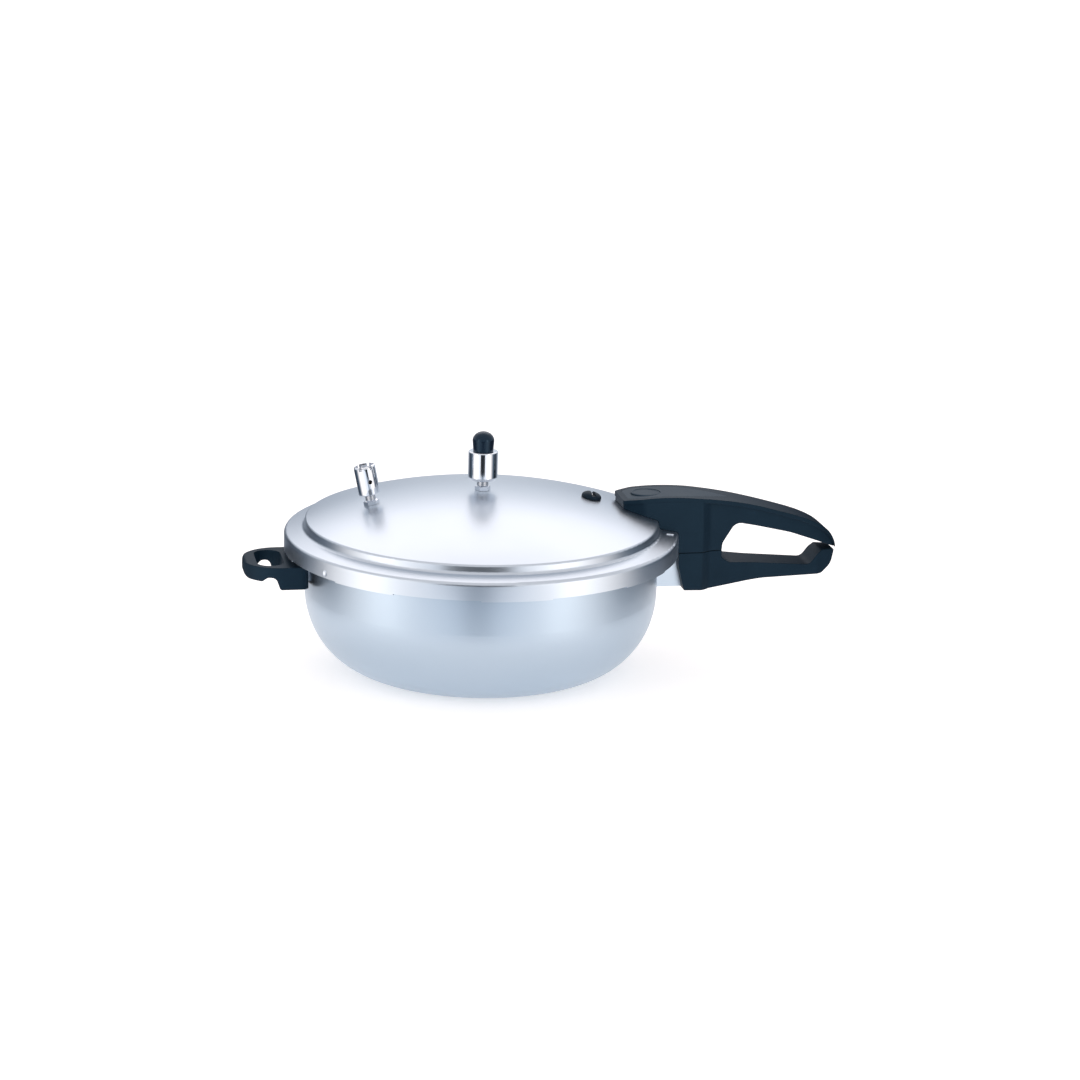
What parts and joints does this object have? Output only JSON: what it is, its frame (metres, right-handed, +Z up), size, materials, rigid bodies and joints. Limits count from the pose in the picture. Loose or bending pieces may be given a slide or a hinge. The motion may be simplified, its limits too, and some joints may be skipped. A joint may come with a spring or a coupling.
{
  "type": "stovetop pressure cooker",
  "caption": "Aluminium stovetop pressure cooker with a bayonet lid, black long and helper handles, a lift-off weight and a safety valve.",
  "frame": {"origin": "centre of the pot's flat base, on the surface that it stands on", "axes": "+Z up, +X along the long handle away from the pot, the helper handle at -X"},
  "size_m": [0.4224, 0.275, 0.1673],
  "materials": {
    "pot_aluminium": "satin",
    "lid_aluminium": "satin",
    "chrome": "polished",
    "steel": "brushed",
    "bakelite": "satin",
    "bakelite_panel": "matte",
    "knob_plastic": "gloss",
    "black_rubber": "matte",
    "ring_rubber": "matte",
    "brass": "satin"
  },
  "bodies": {
    "pot": {"pot_body": "pot_aluminium", "handle_bracket": "pot_aluminium", "handle_bracket_rivets": "pot_aluminium", "lower_handle": "bakelite", "lower_handle_screw": "steel", "lower_handle_washer": "steel", "helper_bracket": "pot_aluminium", "helper_bracket_rivets": "pot_aluminium", "helper_handle": "bakelite", "helper_handle_screw": "steel", "helper_handle_washer": "steel"},
    "lid": {"lid_shell": "lid_aluminium", "sealing_ring": "ring_rubber", "vent_pipe": "steel", "vent_seal": "black_rubber", "vent_nut": "chrome", "vent_shield": "steel", "safety_valve_stem": "steel", "safety_valve_seal": "black_rubber", "safety_valve_nut": "chrome", "safety_valve_body": "chrome", "safety_valve_cap": "steel", "safety_valve_spring": "steel", "pressure_plug": "black_rubber", "upper_handle": "bakelite", "handle_inlay": "bakelite_panel", "handle_badge": "bakelite_panel", "upper_handle_stud": "steel", "upper_handle_front_screw": "steel", "upper_handle_bracket": "steel", "upper_handle_rear_screw": "steel"},
    "weight": {"weight_shell": "chrome", "weight_needle": "steel", "weight_knob": "knob_plastic"},
    "safety_plunger": {"safety_valve_plunger": "brass"},
    "pressure_indicator": {"pressure_pin": "steel", "pressure_pin_clip": "steel"}
  },
  "joints": [
    {"name": "lid_turn", "type": "hinge", "parent": "pot", "child": "lid", "pos_m": [0, 0, 0.09], "axis": [0, 0, 1], "range_deg": [0, 22.5]},
    {"name": "weight_lift", "type": "slide", "parent": "lid", "child": "weight", "axis": [0, 0, 1], "range_m": [0, 0.03]},
    {"name": "safety_plunger_lift", "type": "slide", "parent": "lid", "child": "safety_plunger", "axis": [-0.2044, 0, 0.9789], "range_m": [0, 0.0016], "stiffness_N_per_m": 3000, "springref_m": -0.0014, "deforming": ["safety_valve_spring"]},
    {"name": "pressure_pin_rise", "type": "slide", "parent": "lid", "child": "pressure_indicator", "axis": [0.2044, 0, 0.9789], "range_m": [0, 0.003]}
  ]
}
